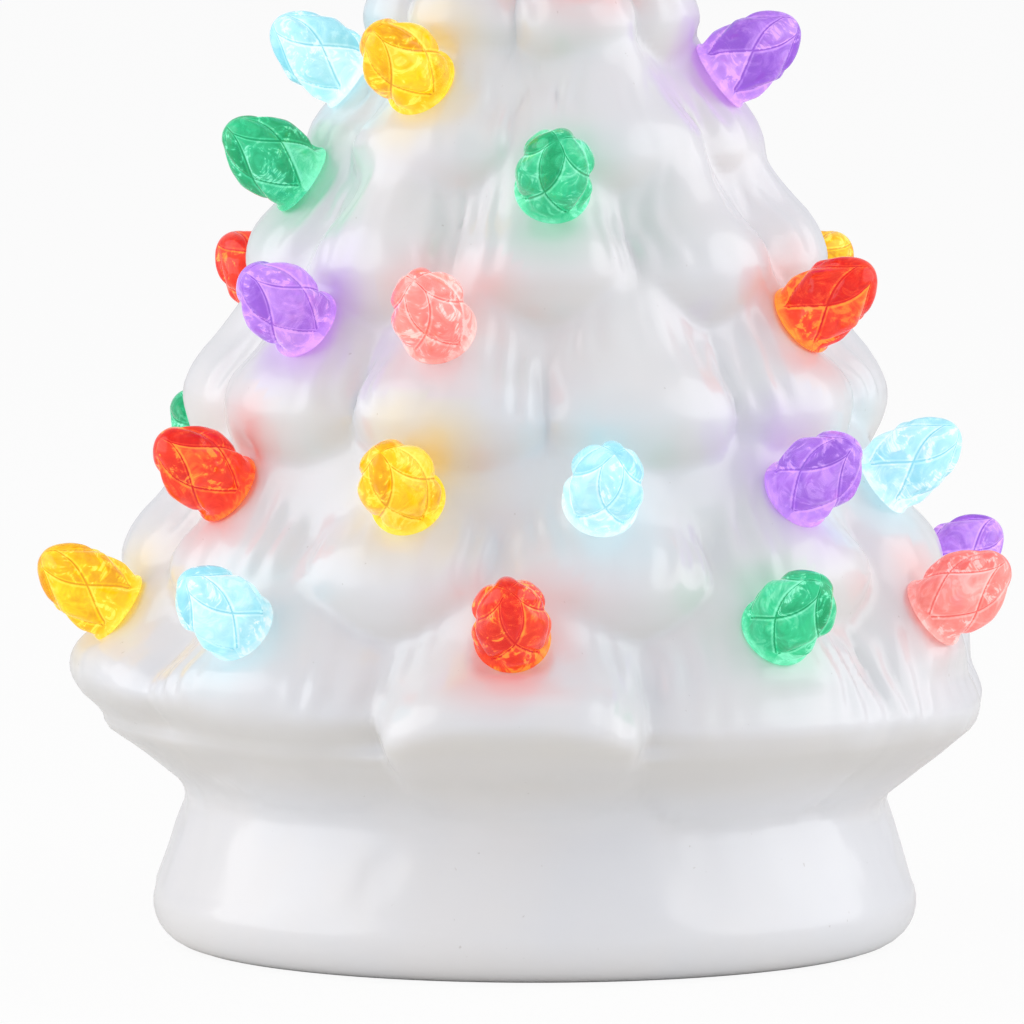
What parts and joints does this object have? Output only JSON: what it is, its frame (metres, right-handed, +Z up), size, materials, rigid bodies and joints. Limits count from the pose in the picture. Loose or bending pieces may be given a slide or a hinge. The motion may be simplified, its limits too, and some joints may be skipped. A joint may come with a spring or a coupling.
{
  "type": "ceramic christmas tree",
  "caption": "Ceramic tabletop Christmas tree: tiers of scalloped boughs on a flared round base, clear coloured bulbs lit from inside, a lift-off star and a battery light kit underneath.",
  "frame": {"origin": "on the table under the middle of the base", "axes": "+Z up along the tree's axis, -Y towards the front, +X to the right seen from the front"},
  "size_m": [0.1276, 0.1348, 0.1807],
  "materials": {
    "pearl_glaze": "glossy white pearl glaze",
    "star_plastic": "clear moulded plastic",
    "gasket_rubber": "soft matt rubber",
    "base_plastic": "fine moulded texture",
    "switch_plastic": "satin",
    "board_plastic": "lacquered board",
    "contact_steel": "nickel plated",
    "battery_case": "gloss sleeve",
    "led_plastic": "clear",
    "red_insulation": "smooth",
    "black_insulation": "smooth",
    "bulb_red": "clear moulded plastic, lit from inside",
    "bulb_green": "clear moulded plastic, lit from inside",
    "bulb_yellow": "clear moulded plastic, lit from inside",
    "bulb_blue": "clear moulded plastic, lit from inside",
    "bulb_purple": "clear moulded plastic, lit from inside",
    "bulb_pink": "clear moulded plastic, lit from inside"
  },
  "bodies": {
    "tree": {"base_gasket": "gasket_rubber", "battery_1": "battery_case", "battery_2": "battery_case", "battery_3": "battery_case", "board_screws": "contact_steel", "bulb_row1_01_yellow": "bulb_yellow", "bulb_row1_02_blue": "bulb_blue", "bulb_row1_03_red": "bulb_red", "bulb_row1_04_green": "bulb_green", "bulb_row1_05_pink": "bulb_pink", "bulb_row1_06_purple": "bulb_purple", "bulb_row1_07_red": "bulb_red", "bulb_row1_08_yellow": "bulb_yellow", "bulb_row1_09_green": "bulb_green", "bulb_row2_01_red": "bulb_red", "bulb_row2_02_yellow": "bulb_yellow", "bulb_row2_03_blue": "bulb_blue", "bulb_row2_04_purple": "bulb_purple", "bulb_row2_05_blue": "bulb_blue", "bulb_row2_06_green": "bulb_green", "bulb_row2_07_yellow": "bulb_yellow", "bulb_row2_08_pink": "bulb_pink", "bulb_row2_09_blue": "bulb_blue", "bulb_row3_01_red": "bulb_red", "bulb_row3_02_purple": "bulb_purple", "bulb_row3_03_pink": "bulb_pink", "bulb_row3_04_red": "bulb_red", "bulb_row3_05_yellow": "bulb_yellow", "bulb_row3_06_blue": "bulb_blue", "bulb_row4_01_green": "bulb_green", "bulb_row4_02_green": "bulb_green", "bulb_row4_03_purple": "bulb_purple", "bulb_row4_04_yellow": "bulb_yellow", "bulb_row5_01_blue": "bulb_blue", "bulb_row5_02_yellow": "bulb_yellow", "bulb_row5_03_purple": "bulb_purple", "bulb_row5_04_red": "bulb_red", "bulb_row6_01_red": "bulb_red", "bulb_row6_02_green": "bulb_green", "bulb_row6_03_pink": "bulb_pink", "ceramic_tree": "pearl_glaze", "circuit_board": "board_plastic", "contact_bridge_left": "contact_steel", "contact_bridge_right": "contact_steel", "contact_negative": "contact_steel", "contact_positive": "contact_steel", "led_1": "led_plastic", "led_2": "led_plastic", "led_3": "led_plastic", "light_base": "base_plastic", "switch_body": "switch_plastic", "wire_positive": "red_insulation", "wire_return": "black_insulation", "wire_switch": "black_insulation"},
    "star": {"star_topper": "star_plastic"},
    "switch_knob": {"switch_knob": "switch_plastic"},
    "battery_door": {"battery_door": "base_plastic"}
  },
  "joints": [
    {"name": "star_lift", "type": "slide", "parent": "tree", "child": "star", "axis": [0, 0, 1], "range_m": [0, 0.014]},
    {"name": "switch_slide", "type": "slide", "parent": "tree", "child": "switch_knob", "axis": [1, 0, 0], "range_m": [0, 0.006]},
    {"name": "door_hinge", "type": "hinge", "parent": "tree", "child": "battery_door", "pos_m": [-0.02795, 0, 0.003], "axis": [0, 1, 0], "range_deg": [0, 100]}
  ]
}
